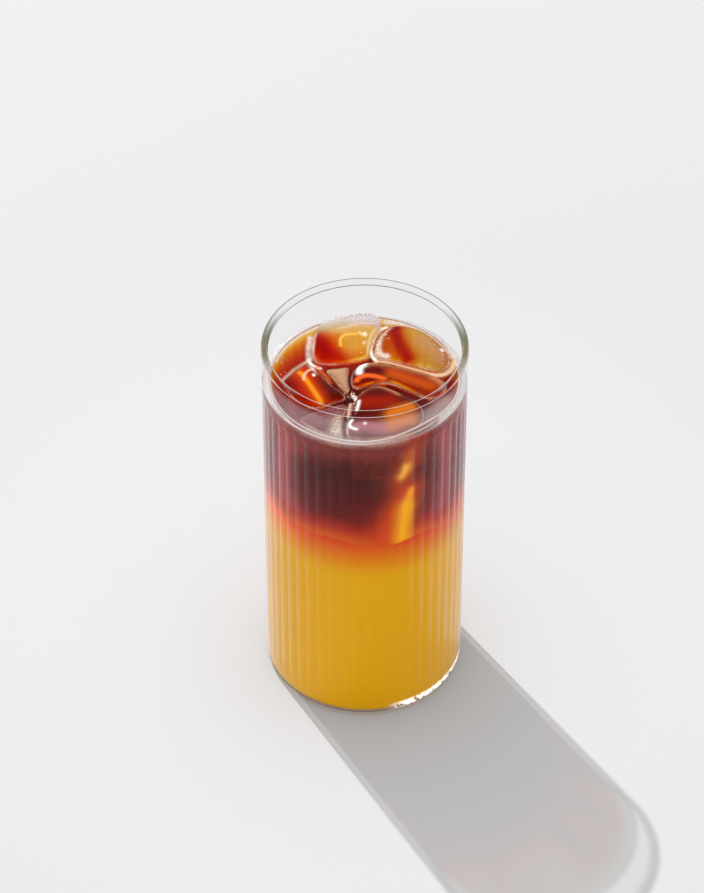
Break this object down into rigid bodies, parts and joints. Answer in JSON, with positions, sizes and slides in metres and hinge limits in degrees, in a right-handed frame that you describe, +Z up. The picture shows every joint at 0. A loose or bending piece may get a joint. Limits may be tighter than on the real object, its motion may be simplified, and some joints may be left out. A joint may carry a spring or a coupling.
{
  "type": "bumble coffee",
  "caption": "Tall straight ribbed glass of black coffee poured over yellow juice, with melting ice cubes breaking the surface.",
  "frame": {"origin": "centre of the glass's base, on the surface it stands on", "axes": "+Z up along the glass's axis, +X to the right and -Y to the front as seen in the picture"},
  "size_m": [0.065, 0.065, 0.135],
  "materials": {
    "clear_glass": "clear, polished, moulded ribs outside",
    "orange_juice": "cloudy liquid, smooth",
    "black_coffee": "clear dark red-brown liquid, smooth",
    "clear_ice": "clear, wet, with fine bubbles"
  },
  "bodies": {
    "root": {"glass": "clear_glass", "orange_juice": "orange_juice", "coffee": "black_coffee", "ice_back_left": "clear_ice", "ice_back_right": "clear_ice", "ice_middle_right": "clear_ice", "ice_front_right": "clear_ice", "ice_left": "clear_ice", "ice_front_left": "clear_ice", "ice_centre": "clear_ice"}
  },
  "joints": []
}
